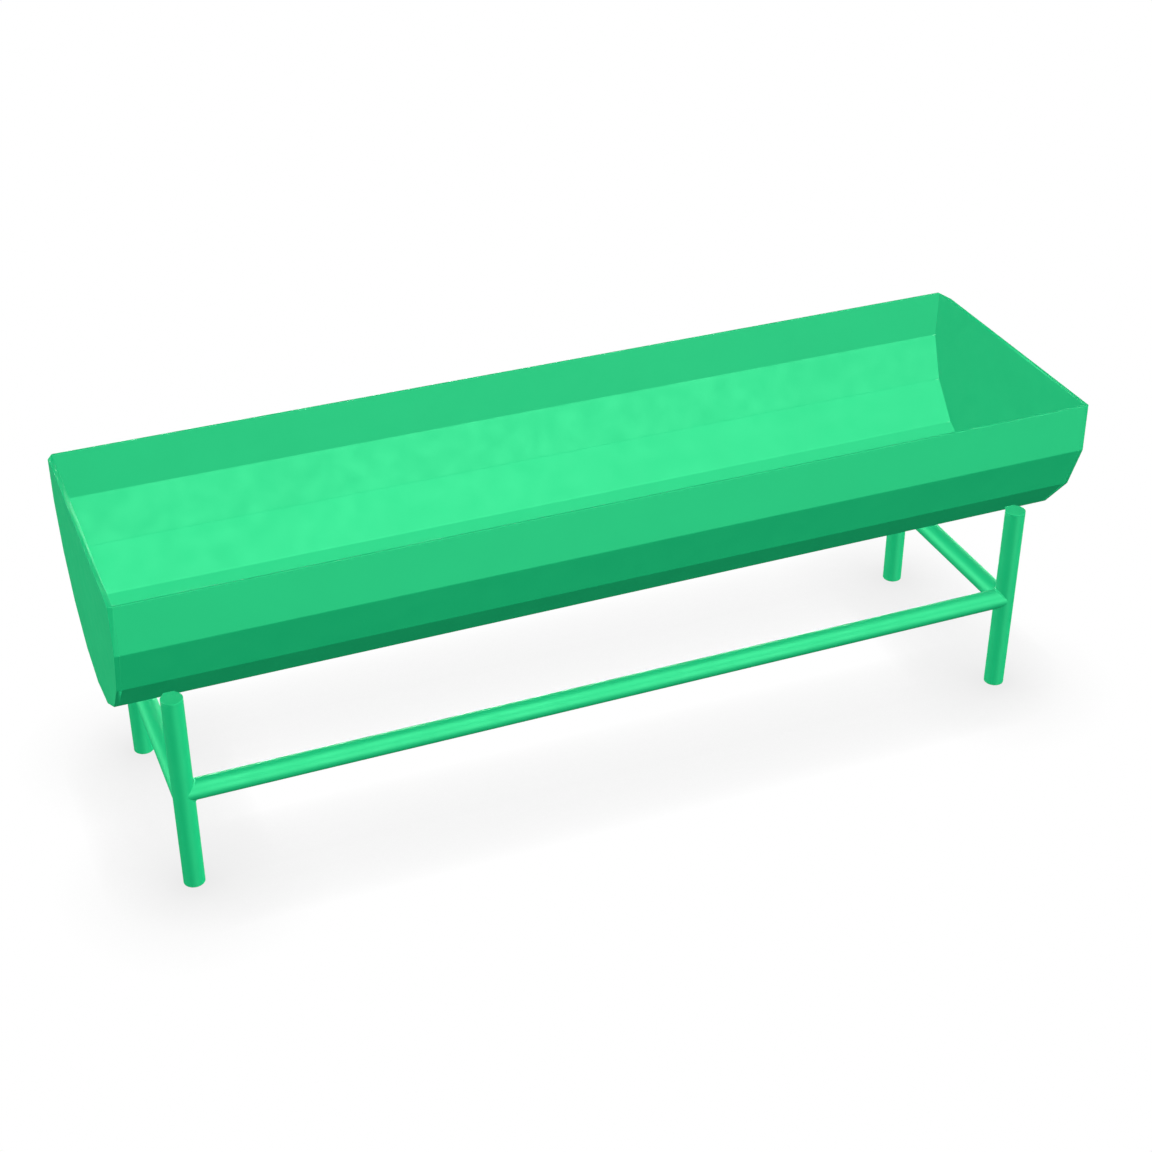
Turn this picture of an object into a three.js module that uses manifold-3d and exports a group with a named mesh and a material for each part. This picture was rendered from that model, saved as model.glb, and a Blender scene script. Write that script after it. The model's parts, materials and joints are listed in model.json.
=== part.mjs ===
// Trough feeder: a folded half-round trough with flat end plates, welded to the tops of four
// tube legs that are tied together by two long rails and two cross rails.
// Millimetres. +Z is up, X runs along the trough, -Y is the front. The floor is Z = 0.

import * as THREE from 'three';
import Module from 'manifold-3d';
import { ConvexGeometry } from 'three/addons/geometries/ConvexGeometry.js';
import { mergeVertices } from 'three/addons/utils/BufferGeometryUtils.js';

// Driving dimensions
const overallLength = 1500;
const troughWidth = 440;
const rimHeight = 524;
const foldAngle = 20 * Math.PI / 180;
const sheetThickness = 4;
const endPlateThickness = 7;
const endCornerSetIn = 2;
const endCornerClipLength = 28;
const endCornerClipDrop = 7;

const tubeRadius = 16;
const tubeWall = 2.5;
const legSpacingX = 1350;
const legHeight = 328;
const capThickness = 3;
const footPlugLength = 22;
const longRailHeight = 165;
const crossRailHeight = 158;

const weldSize = 2.5;
const weldSteps = 24;
const weldStartAngle = Math.PI / 10;
const seatWeldSize = 5;
const seatWeldSteps = 12;
const seatWeldHalfAngle = Math.PI / 6;
const beadBulge = 0.6;
const gap = 0.3;
const roundSides = 64;

// The trough's walls are sides of a regular polygon, from one upright wall round to the other
const halfLength = overallLength / 2;
const halfWidth = troughWidth / 2;
const wallCount = Math.round(Math.PI / foldAngle) + 1;
const sectionCentreZ = rimHeight - halfWidth * Math.tan(foldAngle / 2);

const legX = legSpacingX / 2;
const boreRadius = tubeRadius - tubeWall;
const mitreGap = gap / Math.SQRT2;

const paint = { color: 0x2ec982, roughness: 0.55, metalness: 0.1 };
const plastic = { color: 0x24302b, roughness: 0.7, metalness: 0 };

const wasm = await Module();
wasm.setup();

const group = new THREE.Group();
group.name = 'trough_feeder';

function addPart(name, geometry, look) {
  const mesh = new THREE.Mesh(geometry, new THREE.MeshStandardMaterial(look));
  mesh.name = name;
  group.add(mesh);
}

// Shapes are worked out as manifold solids and turned back into three.js geometry at the end
function toSolid(geometry) {
  const bare = geometry.clone();
  bare.deleteAttribute('normal');
  bare.deleteAttribute('uv');
  const welded = mergeVertices(bare, 1e-4);
  return new wasm.Manifold(new wasm.Mesh({
    numProp: 3,
    vertProperties: new Float32Array(welded.attributes.position.array),
    triVerts: new Uint32Array(welded.index.array),
  }));
}

function toGeometry(solid) {
  const mesh = solid.getMesh();
  const geometry = new THREE.BufferGeometry();
  geometry.setAttribute('position', new THREE.BufferAttribute(new Float32Array(mesh.vertProperties), 3));
  geometry.setIndex(new THREE.BufferAttribute(new Uint32Array(mesh.triVerts), 1));
  const faceted = geometry.toNonIndexed();
  faceted.computeVertexNormals();
  return faceted;
}

// A straight prism: the outline is drawn in the plane square to the axis
function prism(outline, axis, start, length) {
  const shape = new THREE.Shape(outline.map(([a, b]) => new THREE.Vector2(a, b)));
  const geometry = new THREE.ExtrudeGeometry(shape, { depth: length, bevelEnabled: false });
  geometry.translate(0, 0, start);
  if (axis === 'x') {
    const yzToWorld = new THREE.Matrix4().makeBasis(
      new THREE.Vector3(0, 1, 0),
      new THREE.Vector3(0, 0, 1),
      new THREE.Vector3(1, 0, 0),
    );
    geometry.applyMatrix4(yzToWorld);
  }
  return geometry;
}

// A round bar or tube standing on Z = 0
function round(outerRadius, innerRadius, length) {
  const profile = [
    new THREE.Vector2(innerRadius, 0),
    new THREE.Vector2(outerRadius, 0),
    new THREE.Vector2(outerRadius, length),
    new THREE.Vector2(innerRadius, length),
  ];
  if (innerRadius > 0) {
    profile.push(profile[0].clone());
  }
  const geometry = new THREE.LatheGeometry(profile, roundSides);
  geometry.rotateX(Math.PI / 2);
  return geometry;
}

function upright(outerRadius, innerRadius, bottom, top, corner) {
  return round(outerRadius, innerRadius, top - bottom).translate(corner.x, corner.y, bottom);
}

function alongX(outerRadius, innerRadius, length, y, z) {
  const geometry = round(outerRadius, innerRadius, length).translate(0, 0, -length / 2);
  return geometry.rotateY(Math.PI / 2).translate(0, y, z);
}

function alongY(outerRadius, innerRadius, length, x, z) {
  const geometry = round(outerRadius, innerRadius, length).translate(0, 0, -length / 2);
  return geometry.rotateX(Math.PI / 2).translate(x, 0, z);
}

// The corners of the trough's section, front rim to rear rim, at a distance inside its outer face
function sectionCorners(inset) {
  const cornerRadius = (halfWidth - inset) / Math.cos(foldAngle / 2);
  const corners = [];
  for (let fold = 1; fold < wallCount; fold += 1) {
    const angle = (fold - 0.5) * foldAngle;
    corners.push([-cornerRadius * Math.cos(angle), sectionCentreZ - cornerRadius * Math.sin(angle)]);
  }
  const reach = halfWidth - inset;
  return [[-reach, rimHeight], ...corners, [reach, rimHeight]];
}

// A line just clear of the third wall down, which is the one that rests against the leg tops.
// Points on it are given as distance from the trough's centre plane, and height.
const [wallTop, wallFoot] = sectionCorners(-gap).slice(2, 4).map(([y, z]) => new THREE.Vector2(-y, z));
const wallSlope = wallTop.clone().sub(wallFoot).normalize();

function wallPointAt(z) {
  return wallFoot.clone().addScaledVector(wallSlope, (z - wallFoot.y) / wallSlope.y);
}

const legY = wallPointAt(legHeight).x + tubeRadius;

// Trough
function troughShell() {
  const outline = [...sectionCorners(0), ...sectionCorners(sheetThickness).reverse()];
  const end = halfLength - endPlateThickness - gap;
  return prism(outline, 'x', -end, 2 * end);
}

// The outer face of an end plate is dressed back at its two top corners
function endPlate(side) {
  const outline = sectionCorners(0);
  const outer = [
    [-halfWidth + endCornerSetIn, rimHeight],
    ...outline.slice(1, -1),
    [halfWidth - endCornerSetIn, rimHeight - endCornerClipDrop],
    [halfWidth - endCornerSetIn - endCornerClipLength, rimHeight],
  ];
  const points = [
    ...outline.map(([y, z]) => new THREE.Vector3(side * (halfLength - endPlateThickness), y, z)),
    ...outer.map(([y, z]) => new THREE.Vector3(side * halfLength, y, z)),
  ];
  return new ConvexGeometry(points);
}

addPart('trough_shell', troughShell(), paint);
addPart('end_plate_left', endPlate(-1), paint);
addPart('end_plate_right', endPlate(1), paint);

// Frame corners
const corners = [];
for (const [row, signY] of [['front', -1], ['rear', 1]]) {
  for (const [end, signX] of [['left', -1], ['right', 1]]) {
    corners.push({ label: `${row}_${end}`, row, end, signX, signY, x: signX * legX, y: signY * legY });
  }
}

// Legs, their top caps and the plugs in their open lower ends
for (const corner of corners) {
  const tubeTop = legHeight - capThickness - gap;
  addPart(`leg_${corner.label}`, upright(tubeRadius, boreRadius, 0, tubeTop, corner), paint);
  const cap = upright(tubeRadius, 0, legHeight - capThickness, legHeight, corner);
  addPart(`leg_cap_${corner.label}`, cap, paint);
  addPart(`foot_plug_${corner.label}`, upright(boreRadius - gap, 0, 0, footPlugLength, corner), plastic);
}

// Where two rails meet at a leg, each stops at the vertical plane halfway between them.
// u runs inwards along X and v inwards along Y, both from the leg's axis.
function mitreWedge(corner, forLongRail) {
  const reach = 3 * tubeRadius;
  const triangle = forLongRail
    ? [[0, -mitreGap], [reach, reach - mitreGap], [0, reach - mitreGap]]
    : [[-mitreGap, 0], [reach - mitreGap, 0], [reach - mitreGap, reach]];
  const outline = triangle.map(([u, v]) => [corner.x - corner.signX * u, corner.y - corner.signY * v]);
  return toSolid(prism(outline, 'z', 0, legHeight));
}

function legEnvelope(corner, radius) {
  return toSolid(upright(radius, 0, 0, legHeight, corner));
}

// Rails end in a fish mouth round each leg
function copedRail(tube, forLongRail, railCorners) {
  let solid = toSolid(tube);
  for (const corner of railCorners) {
    solid = solid.subtract(legEnvelope(corner, tubeRadius + gap));
    solid = solid.subtract(mitreWedge(corner, forLongRail));
  }
  return toGeometry(solid);
}

for (const [row, signY] of [['front', -1], ['rear', 1]]) {
  const tube = alongX(tubeRadius, boreRadius, legSpacingX, signY * legY, longRailHeight);
  const ends = corners.filter((corner) => corner.row === row);
  addPart(`long_rail_${row}`, copedRail(tube, true, ends), paint);
}

for (const [end, signX] of [['left', -1], ['right', 1]]) {
  const tube = alongY(tubeRadius, boreRadius, 2 * legY, signX * legX, crossRailHeight);
  const ends = corners.filter((corner) => corner.end === end);
  addPart(`cross_rail_${end}`, copedRail(tube, false, ends), paint);
}

// A weld bead through a row of cross-sections, each given by its corner points
function bead(sections) {
  const lengths = [];
  for (let step = 1; step < sections.length; step += 1) {
    lengths.push(wasm.Manifold.hull([...sections[step - 1], ...sections[step]]));
  }
  return wasm.Manifold.union(lengths);
}

// The fillet where a rail's top (side 1) or underside (side -1) meets a leg. Going round the rail
// from one flank to the other, the notch is as far from the leg's axis as from the rail's.
function railWeld(corner, forLongRail, side) {
  const radius = tubeRadius + gap;
  const railHeight = forLongRail ? longRailHeight : crossRailHeight;
  const sections = [];
  for (let step = 0; step <= weldSteps; step += 1) {
    const angle = weldStartAngle + (Math.PI - 2 * weldStartAngle) * step / weldSteps;
    const root = radius * Math.sin(angle);
    const across = radius * Math.cos(angle);
    const size = weldSize * Math.sin(angle);
    const place = (alongToe, upToe) => {
      const [inX, inY] = forLongRail ? [root + alongToe, across] : [across, root + alongToe];
      const height = railHeight + side * (root + upToe);
      return [corner.x - corner.signX * inX, corner.y - corner.signY * inY, height];
    };
    sections.push([
      place(0, 0),
      place(size, 0),
      place(beadBulge * size, beadBulge * size),
      place(0, size),
    ]);
  }
  return toGeometry(bead(sections).subtract(mitreWedge(corner, forLongRail)));
}

// The fillet between a leg's inner side, just under its top, and the sloping trough wall
function seatWeld(corner) {
  const radius = tubeRadius + gap;
  const sections = [];
  for (let step = 0; step <= seatWeldSteps; step += 1) {
    const angle = seatWeldHalfAngle * (2 * step / seatWeldSteps - 1);
    const legSide = legY - radius * Math.cos(angle);
    const wallHeight = wallFoot.y + (legSide - wallFoot.x) * wallSlope.y / wallSlope.x;
    const top = Math.min(legHeight, wallHeight);
    const size = seatWeldSize * Math.cos(angle);
    const onWall = wallPointAt(top);
    const wallToe = onWall.clone().addScaledVector(wallSlope, -size);
    const place = (distance, z) => [corner.x + radius * Math.sin(angle), corner.signY * distance, z];
    sections.push([
      place(legSide, top),
      place(onWall.x, onWall.y),
      place(wallToe.x, wallToe.y),
      place(legSide, top - size),
    ]);
  }
  return toGeometry(bead(sections));
}

for (const corner of corners) {
  for (const [place, side] of [['top', 1], ['under', -1]]) {
    addPart(`long_rail_weld_${place}_${corner.label}`, railWeld(corner, true, side), paint);
    addPart(`cross_rail_weld_${place}_${corner.label}`, railWeld(corner, false, side), paint);
  }
  addPart(`seat_weld_${corner.label}`, seatWeld(corner), paint);
}

export default group;
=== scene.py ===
"""Looks for the trough feeder: green powder-coated sheet and tube on a plain white floor.

Metres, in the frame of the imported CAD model. Every CAD node keeps its own mesh. Modifiers round
edges and roughen welds, and the materials below give each node its surface.
"""

import json
import math

import bpy
from mathutils import Euler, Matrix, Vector

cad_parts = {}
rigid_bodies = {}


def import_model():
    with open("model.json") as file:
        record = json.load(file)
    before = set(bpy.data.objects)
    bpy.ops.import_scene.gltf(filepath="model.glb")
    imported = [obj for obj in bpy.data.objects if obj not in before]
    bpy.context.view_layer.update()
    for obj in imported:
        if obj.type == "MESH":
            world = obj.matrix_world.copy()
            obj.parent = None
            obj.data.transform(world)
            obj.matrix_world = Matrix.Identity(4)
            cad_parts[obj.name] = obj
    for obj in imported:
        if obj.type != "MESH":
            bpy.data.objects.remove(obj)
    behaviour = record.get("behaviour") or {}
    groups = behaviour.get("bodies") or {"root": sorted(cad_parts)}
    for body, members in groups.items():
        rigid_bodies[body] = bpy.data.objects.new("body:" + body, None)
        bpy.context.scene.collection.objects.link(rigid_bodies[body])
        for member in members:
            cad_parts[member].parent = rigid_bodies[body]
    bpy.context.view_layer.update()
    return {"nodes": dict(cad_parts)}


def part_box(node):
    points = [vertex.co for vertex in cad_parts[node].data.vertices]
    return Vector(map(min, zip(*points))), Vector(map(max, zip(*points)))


# Camera, at the viewing angle of the photograph
CAMERA_PLACE = (-1.0381, -2.5581, 2.0264)
CAMERA_TURN = math.radians(21.999)
CAMERA_PITCH = math.radians(32.543)
CAMERA_FIELD = math.radians(30.660)

# Lights: azimuth from the front towards +X and elevation, in degrees, and strength
SUNS = {
    "key_light": (27.7, 58.1, 2.21),
    "front_light": (15.1, 0.9, 2.16),
    "left_light": (-110.4, 14.6, 3.30),
    "right_light": (109.2, 9.4, 2.66),
    "back_light": (170, -6, 1.3),
}
AMBIENT = 0.01
SUN_WIDTH = math.radians(40)

# Floor: how far its contact shade reaches, and its brightness by how open the space above it is
SHADE_REACH = 0.19
SHADE_STOPS = [(0.0, 0.80), (0.5, 0.83), (0.8, 0.85), (0.93, 0.905), (1.0, 1.0)]
SHADE_SAMPLES = 24
SHADED_FLOOR_RADIUS = 15.0
FLOOR_RADIUS = 30.0
FLOOR_SIDES = 96
DOME_RINGS = 12

# Paint and plastic. Colours are linear. A span is the part of a noise's 0 to 1 that is used
PAINT = (0.0086, 0.578, 0.2104)
PAINT_THIN = (0.0088, 0.590, 0.2144)
PAINT_ROUGHNESS = (0.48, 0.56)
PAINT_METALLIC = 0.21
PAINT_GLOSS = 0.35
MOTTLES_PER_METRE = 9
GLOSS_PATCHES_PER_METRE = 35
PEELS_PER_METRE = 420
PEEL_DEPTH = 0.00005
WAVES_PER_METRE = 6
SHEET_WAVINESS = 0.0006
TUBE_WAVINESS = 0.0001
PLASTIC = (0.017, 0.030, 0.024)
PLASTIC_WORN = (0.024, 0.040, 0.033)
PLASTIC_ROUGHNESS = (0.6, 0.75)
PLASTIC_PATCHES_PER_METRE = 60
PLASTIC_GRAINS_PER_METRE = 1800
PLASTIC_GRAIN_DEPTH = 0.00004
MOTTLING_SPAN = (0.35, 0.65)
NOISE_SPAN = (0.3, 0.7)

# Edges: by angle, a crease is drawn sharp, a fold is also rounded, and an outer edge less so
MERGE_DISTANCE = 0.00001
CREASE_ANGLE = math.radians(10)
FOLD_ANGLE = math.radians(18)
EDGE_ANGLE = math.radians(45)
FOLD_WIDTH = 0.0014
EDGE_WIDTH = 0.0005

# Places where edges stay sharp: next to a seam, and at the clipped corner of an end plate
SEAM_REACH = 0.0006
CLIP_REACH = 0.028
CLIP_DROP = 0.007

# Weld beads. The curve bends a ripple into a crescent, in radians per square metre
WELD_VOXEL = 0.00035
WELD_RIPPLE_PITCH = 0.0017
WELD_RIPPLE_HEIGHT = 0.00016
WELD_RIPPLE_CURVE = 150000


def add_node(tree, kind, inputs=None, **settings):
    """A node with its settings, and its inputs as values or as links from other sockets."""
    node = tree.nodes.new(kind)
    for name, value in settings.items():
        setattr(node, name, value)
    for name, value in (inputs or {}).items():
        if isinstance(value, bpy.types.NodeSocket):
            tree.links.new(value, node.inputs[name])
        else:
            node.inputs[name].default_value = value
    return node


# Materials

def new_material(name):
    """An empty node material, and its output node."""
    material = bpy.data.materials.new(name)
    material.use_nodes = True
    tree = material.node_tree
    tree.nodes.clear()
    return material, tree, add_node(tree, "ShaderNodeOutputMaterial")


def noise(tree, place, per_metre, detail=2.0):
    inputs = {"Vector": place, "Scale": per_metre, "Detail": detail, "Roughness": 0.5}
    return add_node(tree, "ShaderNodeTexNoise", inputs).outputs["Fac"]


def remap(tree, value, span, result):
    """The value's span, stretched over the result's low and high."""
    node = add_node(tree, "ShaderNodeMapRange", {
        "Value": value,
        "From Min": span[0],
        "From Max": span[1],
        "To Min": result[0],
        "To Max": result[1],
    })
    return node.outputs["Result"]


def bump(tree, height, distance, strength, under=None):
    inputs = {"Height": height, "Distance": distance, "Strength": strength}
    if under is not None:
        inputs["Normal"] = under
    return add_node(tree, "ShaderNodeBump", inputs).outputs["Normal"]


def blend_colours(tree, factor, first, second):
    """Inputs 6 and 7 and output 2 of a mix node are the ones that hold colours."""
    node = add_node(tree, "ShaderNodeMix", data_type="RGBA")
    tree.links.new(factor, node.inputs[0])
    node.inputs[6].default_value = (*first, 1)
    node.inputs[7].default_value = (*second, 1)
    return node.outputs[2]


def powder_coat(name, waviness):
    """Baked powder coat: orange peel, faint mottling, and the steel's own waviness under it."""
    material, tree, output = new_material(name)
    place = add_node(tree, "ShaderNodeTexCoord").outputs["Object"]
    mottles = noise(tree, place, MOTTLES_PER_METRE, detail=4)
    patches = noise(tree, place, GLOSS_PATCHES_PER_METRE, detail=3)
    waves = noise(tree, place, WAVES_PER_METRE, detail=1)
    peels = noise(tree, place, PEELS_PER_METRE, detail=3)
    wavy = bump(tree, waves, waviness, strength=1)
    shader = add_node(tree, "ShaderNodeBsdfPrincipled", {
        "Base Color": blend_colours(tree, remap(tree, mottles, MOTTLING_SPAN, (0, 1)), PAINT, PAINT_THIN),
        "Roughness": remap(tree, patches, NOISE_SPAN, PAINT_ROUGHNESS),
        "Normal": bump(tree, peels, PEEL_DEPTH, strength=0.6, under=wavy),
        "Metallic": PAINT_METALLIC,
        "Specular IOR Level": PAINT_GLOSS,
    })
    tree.links.new(shader.outputs["BSDF"], output.inputs["Surface"])
    return material


def moulded_plastic():
    """Matte black-green polyethylene with a fine spark-eroded grain."""
    material, tree, output = new_material("foot_plastic_moulded")
    place = add_node(tree, "ShaderNodeTexCoord").outputs["Object"]
    patches = noise(tree, place, PLASTIC_PATCHES_PER_METRE)
    grain = noise(tree, place, PLASTIC_GRAINS_PER_METRE)
    shader = add_node(tree, "ShaderNodeBsdfPrincipled", {
        "Base Color": blend_colours(tree, patches, PLASTIC, PLASTIC_WORN),
        "Roughness": remap(tree, grain, NOISE_SPAN, PLASTIC_ROUGHNESS),
        "Normal": bump(tree, grain, PLASTIC_GRAIN_DEPTH, strength=0.8),
    })
    tree.links.new(shader.outputs["BSDF"], output.inputs["Surface"])
    return material


def plain_white():
    """An even white that no light or shade changes."""
    material, tree, output = new_material("studio_plain_white")
    shader = add_node(tree, "ShaderNodeEmission", {"Color": (1, 1, 1, 1), "Strength": 1.0})
    tree.links.new(shader.outputs["Emission"], output.inputs["Surface"])
    return material


def floor_paint():
    """Plain white, with a soft contact shade under whatever stands within a hand's height of it."""
    material, tree, output = new_material("studio_white")
    openness = add_node(tree, "ShaderNodeAmbientOcclusion", {
        "Distance": SHADE_REACH,
    }, samples=SHADE_SAMPLES)
    shade = add_node(tree, "ShaderNodeValToRGB", {"Fac": openness.outputs["AO"]})
    stops = shade.color_ramp.elements
    stops[0].position = SHADE_STOPS[0][0]
    stops[1].position = SHADE_STOPS[-1][0]
    for place, _ in SHADE_STOPS[1:-1]:
        stops.new(place)
    for stop, (_, level) in zip(stops, SHADE_STOPS):
        stop.color = (level, level, level, 1)
    shader = add_node(tree, "ShaderNodeEmission", {"Color": shade.outputs["Color"], "Strength": 1.0})
    tree.links.new(shader.outputs["Emission"], output.inputs["Surface"])
    return material


# Shape modifiers

def geometry_tree(name):
    """A geometry node group with a geometry socket at each end, and its input and output nodes."""
    tree = bpy.data.node_groups.new(name, "GeometryNodeTree")
    for way in ("INPUT", "OUTPUT"):
        tree.interface.new_socket("Geometry", in_out=way, socket_type="NodeSocketGeometry")
    return tree, add_node(tree, "NodeGroupInput"), add_node(tree, "NodeGroupOutput")


def maths(tree, operation, first, second=0.0):
    node = add_node(tree, "ShaderNodeMath", {0: first, 1: second}, operation=operation)
    return node.outputs["Value"]


def joined_and_smooth(tree, start):
    """The mesh with its split corners joined and its faces smooth."""
    plain = add_node(tree, "GeometryNodeRemoveAttribute", {
        "Geometry": start.outputs["Geometry"],
        "Name": "custom_normal",
    })
    joined = add_node(tree, "GeometryNodeMergeByDistance", {
        "Geometry": plain.outputs["Geometry"],
        "Distance": MERGE_DISTANCE,
    })
    smooth = add_node(tree, "GeometryNodeSetShadeSmooth", {"Geometry": joined.outputs["Geometry"]})
    return smooth.outputs["Geometry"]


def make_sharp(tree, mesh, edges):
    """The mesh with the chosen edges marked sharp."""
    node = add_node(tree, "GeometryNodeSetShadeSmooth", {
        "Geometry": mesh,
        "Selection": edges,
        "Shade Smooth": False,
    }, domain="EDGE")
    return node.outputs["Geometry"]


def edge_marks(plate_low, plate_high, cap_low):
    """Gives each fold and each outer edge a bevel weight.

    Edges stay sharp where the sheet meets an end plate, where a cap meets its leg, and at the
    clipped rear corner of an end plate. The boxes of one end plate and of one cap place these.
    """
    tree, start, end = geometry_tree("edge_marks")
    angle = add_node(tree, "GeometryNodeInputMeshEdgeAngle").outputs["Unsigned Angle"]
    place = add_node(tree, "GeometryNodeInputPosition").outputs["Position"]
    axes = add_node(tree, "ShaderNodeSeparateXYZ", {"Vector": place})
    past_x = maths(tree, "SUBTRACT", maths(tree, "ABSOLUTE", axes.outputs["X"]), plate_low.x)
    off_x = maths(tree, "ABSOLUTE", past_x)
    off_z = maths(tree, "ABSOLUTE", maths(tree, "SUBTRACT", axes.outputs["Z"], cap_low.z))
    off_seam = maths(tree, "GREATER_THAN", maths(tree, "MINIMUM", off_x, off_z), SEAM_REACH)
    before_rear = maths(tree, "SUBTRACT", plate_high.y - CLIP_REACH, axes.outputs["Y"])
    below_rim = maths(tree, "SUBTRACT", plate_high.z - CLIP_DROP, axes.outputs["Z"])
    before_plate = maths(tree, "MULTIPLY", past_x, -1.0)
    from_clip = maths(tree, "MAXIMUM", maths(tree, "MAXIMUM", before_rear, below_rim), before_plate)
    off_clip = maths(tree, "GREATER_THAN", from_clip, 0.0)
    is_crease = maths(tree, "GREATER_THAN", angle, CREASE_ANGLE)
    is_fold = maths(tree, "GREATER_THAN", angle, FOLD_ANGLE)
    is_edge = maths(tree, "GREATER_THAN", angle, EDGE_ANGLE)
    rounded = maths(tree, "MULTIPLY", is_fold, maths(tree, "MULTIPLY", off_seam, off_clip))
    less = maths(tree, "MULTIPLY", is_edge, 1 - EDGE_WIDTH / FOLD_WIDTH)
    weight = maths(tree, "MULTIPLY", rounded, maths(tree, "SUBTRACT", 1.0, less))
    left_sharp = maths(tree, "GREATER_THAN", is_crease, rounded)
    mesh = make_sharp(tree, joined_and_smooth(tree, start), left_sharp)
    marked = add_node(tree, "GeometryNodeStoreNamedAttribute", {
        "Geometry": mesh,
        "Name": "bevel_weight_edge",
        "Value": weight,
    }, data_type="FLOAT", domain="EDGE")
    tree.links.new(marked.outputs["Geometry"], end.inputs["Geometry"])
    return tree


def smooth_tube():
    """Smooth round the tube, and sharp where it is cut."""
    tree, start, end = geometry_tree("smooth_tube")
    angle = add_node(tree, "GeometryNodeInputMeshEdgeAngle").outputs["Unsigned Angle"]
    is_cut = maths(tree, "GREATER_THAN", angle, EDGE_ANGLE)
    mesh = make_sharp(tree, joined_and_smooth(tree, start), is_cut)
    tree.links.new(mesh, end.inputs["Geometry"])
    return tree


def vector_maths(tree, operation, first, second, output="Vector"):
    node = add_node(tree, "ShaderNodeVectorMath", {0: first, 1: second}, operation=operation)
    return node.outputs[output]


def weld_ripples(name, tube_radius):
    """Ripples along a bead: crescents round a rail, or plain rows where no tube radius is given.

    Place is a point on the leg's axis, at the rail's height. Rail is the rail's direction.
    """
    tree, start, end = geometry_tree(name)
    for socket in ("Place", "Rail"):
        tree.interface.new_socket(socket, in_out="INPUT", socket_type="NodeSocketVector")
    position = add_node(tree, "GeometryNodeInputPosition").outputs["Position"]
    from_leg = vector_maths(tree, "SUBTRACT", position, start.outputs["Place"])
    along = vector_maths(tree, "DOT_PRODUCT", from_leg, start.outputs["Rail"], "Value")
    distance = along
    curve = 0.0
    if tube_radius:
        sideways = vector_maths(tree, "CROSS_PRODUCT", start.outputs["Rail"], (0, 0, 1))
        across = vector_maths(tree, "DOT_PRODUCT", from_leg, sideways, "Value")
        axes = add_node(tree, "ShaderNodeSeparateXYZ", {"Vector": from_leg})
        level = maths(tree, "ABSOLUTE", axes.outputs["Z"])
        turn = maths(tree, "ARCTAN2", level, across)
        # The saddle curve between two equal tubes is about this much longer than the tube's own arc
        distance = maths(tree, "MULTIPLY", turn, tube_radius * math.sqrt(1.5))
        off_middle = maths(tree, "SUBTRACT", maths(tree, "ABSOLUTE", along), level)
        squared = maths(tree, "MULTIPLY", off_middle, off_middle)
        curve = maths(tree, "MULTIPLY", squared, WELD_RIPPLE_CURVE)
    rows = maths(tree, "MULTIPLY", distance, 2 * math.pi / WELD_RIPPLE_PITCH)
    phase = maths(tree, "ADD", rows, curve)
    rise = maths(tree, "MULTIPLY", maths(tree, "SINE", phase), WELD_RIPPLE_HEIGHT)
    normal = add_node(tree, "GeometryNodeInputNormal").outputs["Normal"]
    offset = add_node(tree, "ShaderNodeVectorMath", {0: normal, "Scale": rise}, operation="SCALE")
    moved = add_node(tree, "GeometryNodeSetPosition", {
        "Geometry": start.outputs["Geometry"],
        "Offset": offset.outputs["Vector"],
    })
    tree.links.new(moved.outputs["Geometry"], end.inputs["Geometry"])
    return tree


def add_nodes_modifier(node, tree):
    modifier = node.modifiers.new(tree.name, "NODES")
    modifier.node_group = tree
    return modifier


def round_edges(node, marks):
    """Bevels the marked edges, by the width that each one's weight gives."""
    add_nodes_modifier(node, marks)
    bevel = node.modifiers.new("round_edges", "BEVEL")
    bevel.limit_method = "WEIGHT"
    bevel.width = FOLD_WIDTH
    bevel.segments = 3
    even_normals(node)


def even_normals(node):
    """Keeps flat faces flat right up to their rounded edges."""
    normals = node.modifiers.new("even_normals", "WEIGHTED_NORMAL")
    normals.weight = 100
    normals.keep_sharp = True


def shape_weld(node, ripples, place, rail):
    """Turns the faceted fillet into a soft bead with ripples."""
    remesh = node.modifiers.new("weld_surface", "REMESH")
    remesh.mode = "VOXEL"
    remesh.voxel_size = WELD_VOXEL
    remesh.use_smooth_shade = True
    soften = node.modifiers.new("soften", "SMOOTH")
    soften.factor = 0.5
    soften.iterations = 4
    modifier = add_nodes_modifier(node, ripples)
    sockets = {item.name: item.identifier for item in ripples.interface.items_tree}
    modifier[sockets["Place"]] = place
    modifier[sockets["Rail"]] = rail


# Stage

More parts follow.
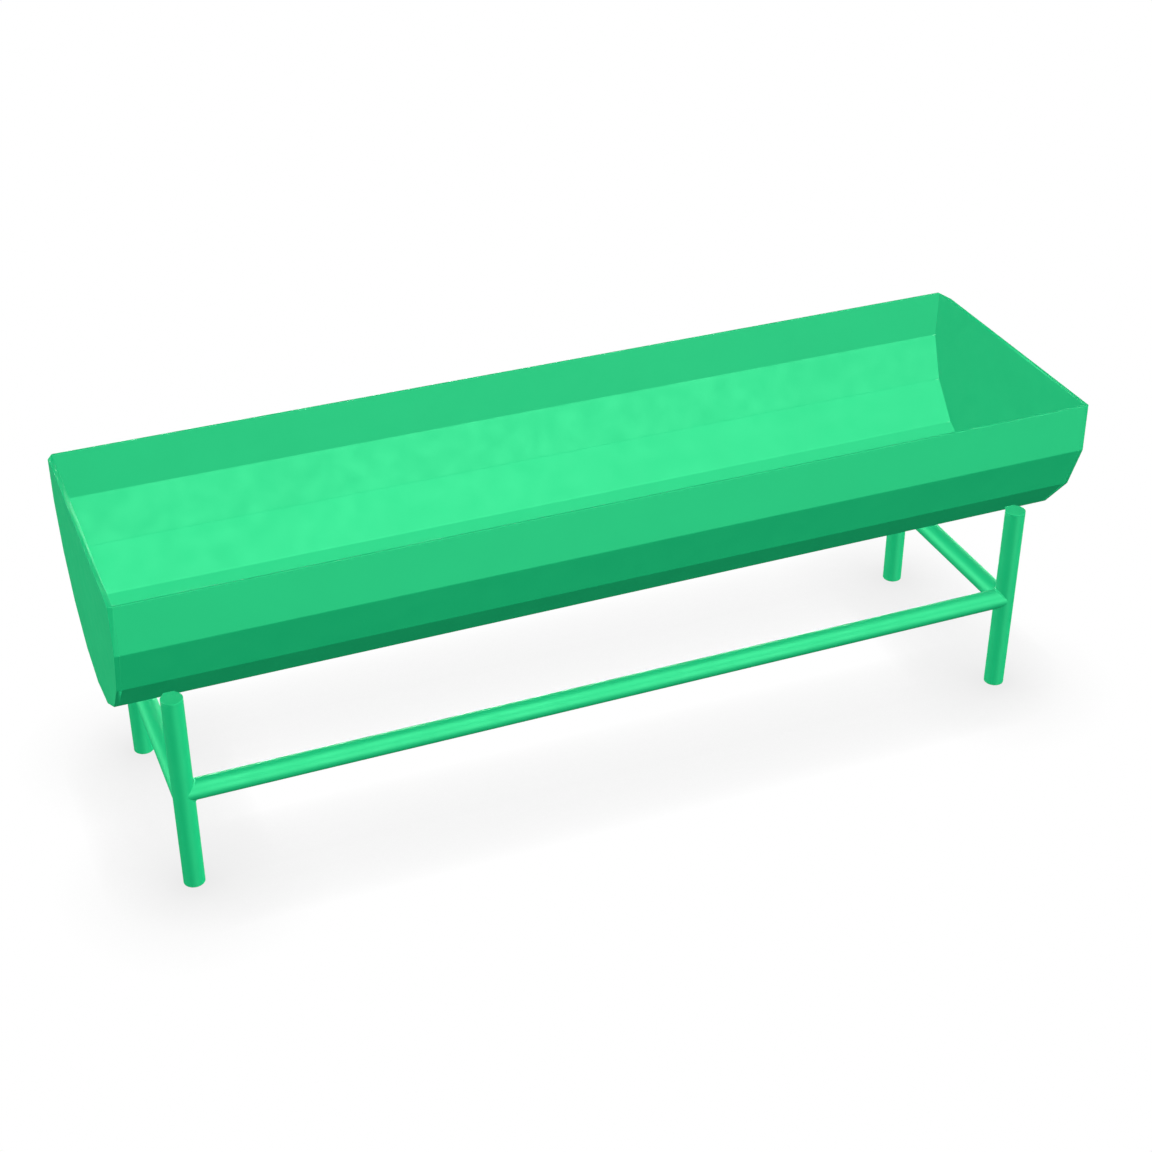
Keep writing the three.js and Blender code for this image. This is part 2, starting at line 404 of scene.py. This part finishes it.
def add_floor():
    """A shaded white disc, then a plain white one that rises into a dome, so that no horizon shows."""
    rings = [(SHADED_FLOOR_RADIUS, 0.0)]
    for step in range(DOME_RINGS + 1):
        angle = math.pi / 2 * step / DOME_RINGS
        rings.append((FLOOR_RADIUS * math.cos(angle), FLOOR_RADIUS * math.sin(angle)))
    verts = [(0, 0, 0)]
    for reach, height in rings:
        for side in range(FLOOR_SIDES):
            turn = 2 * math.pi * side / FLOOR_SIDES
            verts.append((reach * math.cos(turn), reach * math.sin(turn), height))
    shaded = [(0, 1 + side, 1 + (side + 1) % FLOOR_SIDES) for side in range(FLOOR_SIDES)]
    plain = []
    for ring in range(len(rings) - 1):
        inner = 1 + ring * FLOOR_SIDES
        outer = inner + FLOOR_SIDES
        for side in range(FLOOR_SIDES):
            after = (side + 1) % FLOOR_SIDES
            plain.append((inner + side, outer + side, outer + after, inner + after))
    mesh = bpy.data.meshes.new("studio_floor")
    mesh.from_pydata(verts, [], shaded + plain)
    mesh.materials.append(floor_paint())
    mesh.materials.append(plain_white())
    for face in mesh.polygons[len(shaded):]:
        face.material_index = 1
    floor = bpy.data.objects.new("studio_floor", mesh)
    bpy.context.scene.collection.objects.link(floor)
    floor.visible_diffuse = False
    floor.visible_glossy = False


def add_sun(name, azimuth, elevation, strength):
    """A wide soft sun that nothing blocks, so that a flat wall has one even colour along it."""
    light = bpy.data.lights.new(name, "SUN")
    light.energy = strength
    light.angle = SUN_WIDTH
    light.use_shadow = False
    light.cycles.use_multiple_importance_sampling = False
    turn = math.radians(azimuth)
    lift = math.radians(elevation)
    level = math.cos(lift)
    towards = Vector((math.sin(turn) * level, -math.cos(turn) * level, math.sin(lift)))
    sun = bpy.data.objects.new(name, light)
    sun.rotation_euler = towards.to_track_quat("Z", "Y").to_euler()
    bpy.context.scene.collection.objects.link(sun)


def add_world():
    world = bpy.data.worlds.new("studio")
    world.use_nodes = True
    background = world.node_tree.nodes["Background"]
    background.inputs["Color"].default_value = (1, 1, 1, 1)
    background.inputs["Strength"].default_value = AMBIENT
    bpy.context.scene.world = world


def add_camera():
    camera = bpy.data.cameras.new("camera")
    camera.angle = CAMERA_FIELD
    viewer = bpy.data.objects.new("camera", camera)
    viewer.location = CAMERA_PLACE
    viewer.rotation_euler = Euler((math.pi / 2 - CAMERA_PITCH, 0, -CAMERA_TURN))
    bpy.context.scene.collection.objects.link(viewer)
    bpy.context.scene.camera = viewer


# Build

def middle_of(name):
    low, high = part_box(name)
    return (low + high) / 2


for start_object in list(bpy.data.objects):
    bpy.data.objects.remove(start_object)

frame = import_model()

sheet_paint = powder_coat("green_paint_sheet", SHEET_WAVINESS)
tube_paint = powder_coat("green_paint_tube", TUBE_WAVINESS)
plastic = moulded_plastic()

cap_low, cap_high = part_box("leg_cap_front_left")
marks = edge_marks(*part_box("end_plate_right"), cap_low)
tube_surface = smooth_tube()
rail_ripples = weld_ripples("rail_weld_ripples", (cap_high.x - cap_low.x) / 2)
seat_ripples = weld_ripples("seat_weld_ripples", None)

for name, node in frame["nodes"].items():
    if name.startswith("foot_plug"):
        node.material_slots[0].material = plastic
    elif name == "trough_shell" or name.startswith("end_plate"):
        node.material_slots[0].material = sheet_paint
    else:
        node.material_slots[0].material = tube_paint

    if "_weld_" in name:
        kind, _, row_and_end = name.partition("_weld_")
        row, end = row_and_end.split("_")[-2:]
        leg = middle_of(f"leg_{row}_{end}")
        if kind == "long_rail":
            height = middle_of(f"long_rail_{row}").z
            shape_weld(node, rail_ripples, (leg.x, leg.y, height), (1, 0, 0))
        elif kind == "cross_rail":
            height = middle_of(f"cross_rail_{end}").z
            shape_weld(node, rail_ripples, (leg.x, leg.y, height), (0, 1, 0))
        else:
            shape_weld(node, seat_ripples, (leg.x, leg.y, 0), (1, 0, 0))
    elif "rail" in name:
        add_nodes_modifier(node, tube_surface)
        even_normals(node)
    else:
        round_edges(node, marks)

add_camera()
add_floor()
add_world()
for name, settings in SUNS.items():
    add_sun(name, *settings)

scene = bpy.context.scene
scene.view_settings.view_transform = "Standard"
scene.view_settings.look = "None"
scene.cycles.diffuse_bounces = 0
scene.cycles.glossy_bounces = 0
